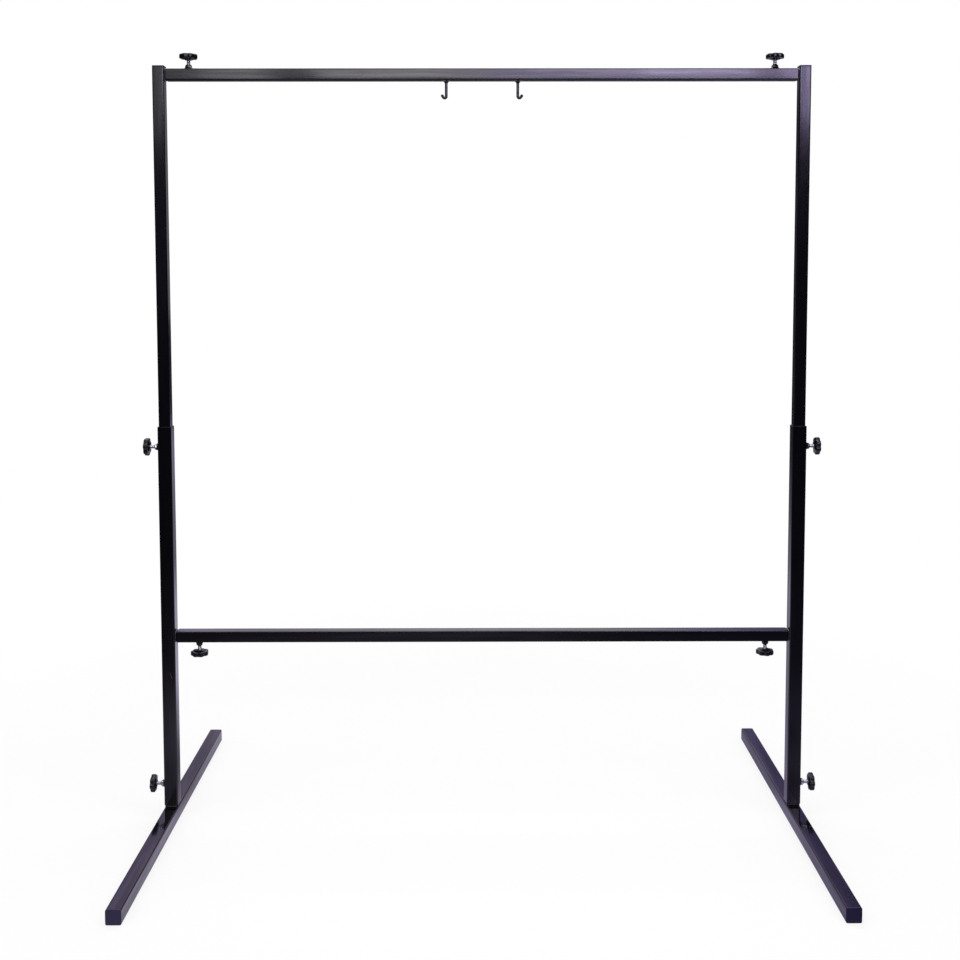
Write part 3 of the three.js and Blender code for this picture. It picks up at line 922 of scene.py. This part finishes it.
def sky_glow(x, y, z):
    """How bright reflections see the sky: bright high up behind the stand, brightest in the
    middle, dim at the horizon, and dark behind the camera but for a faint glow on the left."""
    behind = y.above(0.0, 0.3) * (1 - abs(x).above(0.3, 0.52))
    left_top = z.above(0.3, 0.37) * (1 - x.above(-0.2, 0.0))
    high = (0.75 + 0.2 * x.above(-0.3, 0.05) - 0.3 * left_top) * (1 - 0.82 * x.above(0.02, 0.28))
    high = high * (1 + 0.35 * z.above(0.37, 0.47))
    horizon = 0.05 + 0.25 * x.above(-0.2, 0.22)
    backdrop = horizon + (high - horizon) * z.above(0.12, 0.27)
    sides = 0.1 * abs(x).above(0.5, 0.9) * z.above(0.1, 0.4)
    front_left = 0.075 * (1 - y.above(-0.9, -0.5)) * (1 - x.above(-0.15, 0.1)) * z.above(-0.08, -0.02)
    return 0.015 + sides + front_left + behind * backdrop


def studio_sky():
    """White to the camera, an even soft light to rough surfaces, and to reflections what sky_glow
    says, violet on both sides and deepest high up on the right."""
    world = bpy.data.worlds.new("studio_sky")
    bpy.context.scene.world = world
    sky = Finish(world)
    x, y, z = sky.parts(sky.node("ShaderNodeTexCoord", output="Generated"))
    pale = sky.glow("Background", SKY_PALE, 1.05)
    violet = sky.glow("Background", SKY_VIOLET, 1.3)
    deep = sky.glow("Background", SKY_DEEP, 1.8)
    left = sky.mix(x.above(-0.3, -0.08), violet, pale)
    bright = sky.mix(x.above(0.1, 0.26) * z.above(0.16, 0.24), left, deep)
    mirrored = sky.mix(sky_glow(x, y, z), sky.glow("Background", UNLIT), bright)
    soft = sky.glow("Background", WHITE, 0.5)
    room = sky.mix(sky.ray("Glossy") + sky.ray("Transmission"), soft, mirrored)
    mixed = sky.mix(sky.ray("Camera"), room, sky.glow("Background", WHITE))
    sky.node("ShaderNodeOutputWorld", inputs={"Surface": mixed})


def soft_box(name, place, aim, width, height, radiance, colour):
    """A rectangular lamp that faces its aim, as bright per unit area as radiance says."""
    lamp = bpy.data.lights.new(name, "AREA")
    lamp.shape = "RECTANGLE"
    lamp.size, lamp.size_y = width, height
    lamp.energy = radiance * math.pi * width * height
    lamp.color = colour
    box = bpy.data.objects.new(name, lamp)
    box.location = place
    box.rotation_euler = (Vector(aim) - Vector(place)).to_track_quat("-Z", "Y").to_euler()
    box.visible_camera = False
    bpy.context.scene.collection.objects.link(box)


paper_floor()
studio_sky()

VIOLET, DEEP_VIOLET = (0.8, 0.72, 1.0), (0.72, 0.63, 1.0)
WALL = -4.9  # the front boxes stand in a row behind the camera

# Each front box: its left, right, lower and upper edge, its radiance and its colour
front_boxes = {
    "front_far_left_box": (-2.3, -1.75, 2.04, 3.0, 0.97, WHITE),
    "front_left_box": (-1.7, -1.25, 2.2, 3.0, 3.4, WHITE),
    "front_mid_left_box": (-1.0, 0.04, 2.28, 3.0, 5.0, WHITE),
    "front_mid_right_box": (0.06, 0.95, 2.28, 3.1, 6.6, VIOLET),
    "front_right_box": (1.0, 1.7, 2.28, 3.2, 11.5, VIOLET),
    "front_far_right_box": (1.86, 2.4, 2.16, 3.2, 8.0, DEEP_VIOLET),
}
for name, (left, right, lower, upper, radiance, colour) in front_boxes.items():
    x, z = (left + right) / 2, (lower + upper) / 2
    soft_box(name, (x, WALL, z), (x, 0, z), right - left, upper - lower, radiance, colour)
soft_box("overhead_box", (0, -0.9, 3.7), (0, -0.2, 0), 3.0, 1.4, 2.6, WHITE)
soft_box("behind_top_box", (0, 1.5, 3.6), (0, 0, 0.5), 3.2, 1.6, 3.0, WHITE)
soft_box("high_left_box", (-2.6, -2.6, 3.6), (0, 0, 0.8), 1.6, 1.6, 3.5, WHITE)
soft_box("high_right_box", (2.6, -2.6, 3.6), (0, 0, 0.8), 1.6, 1.6, 3.5, WHITE)


# The photograph's camera: it looks a little down, and its lens is shifted down as well

SENSOR_WIDTH, LENS, LENS_SHIFT = 36.0, 44.949, -0.13
CAMERA_PLACE = (-0.01375, -2.57993, 1.19942)
CAMERA_YAW, CAMERA_PITCH, CAMERA_ROLL = 0.00344, 0.06734, 0.00104
CLIP_END = 200.0

camera_data = bpy.data.cameras.new("front_camera")
camera_data.sensor_width = SENSOR_WIDTH
camera_data.lens = LENS
camera_data.shift_y = LENS_SHIFT
camera_data.clip_end = CLIP_END
camera = bpy.data.objects.new("front_camera", camera_data)
bpy.context.scene.collection.objects.link(camera)
camera.matrix_world = (
    Matrix.Translation(CAMERA_PLACE) @ Matrix.Rotation(-CAMERA_YAW, 4, "Z")
    @ Matrix.Rotation(QUARTER - CAMERA_PITCH, 4, "X") @ Matrix.Rotation(-CAMERA_ROLL, 4, "Z"))
bpy.context.scene.camera = camera
bpy.context.scene.view_settings.view_transform = "Standard"
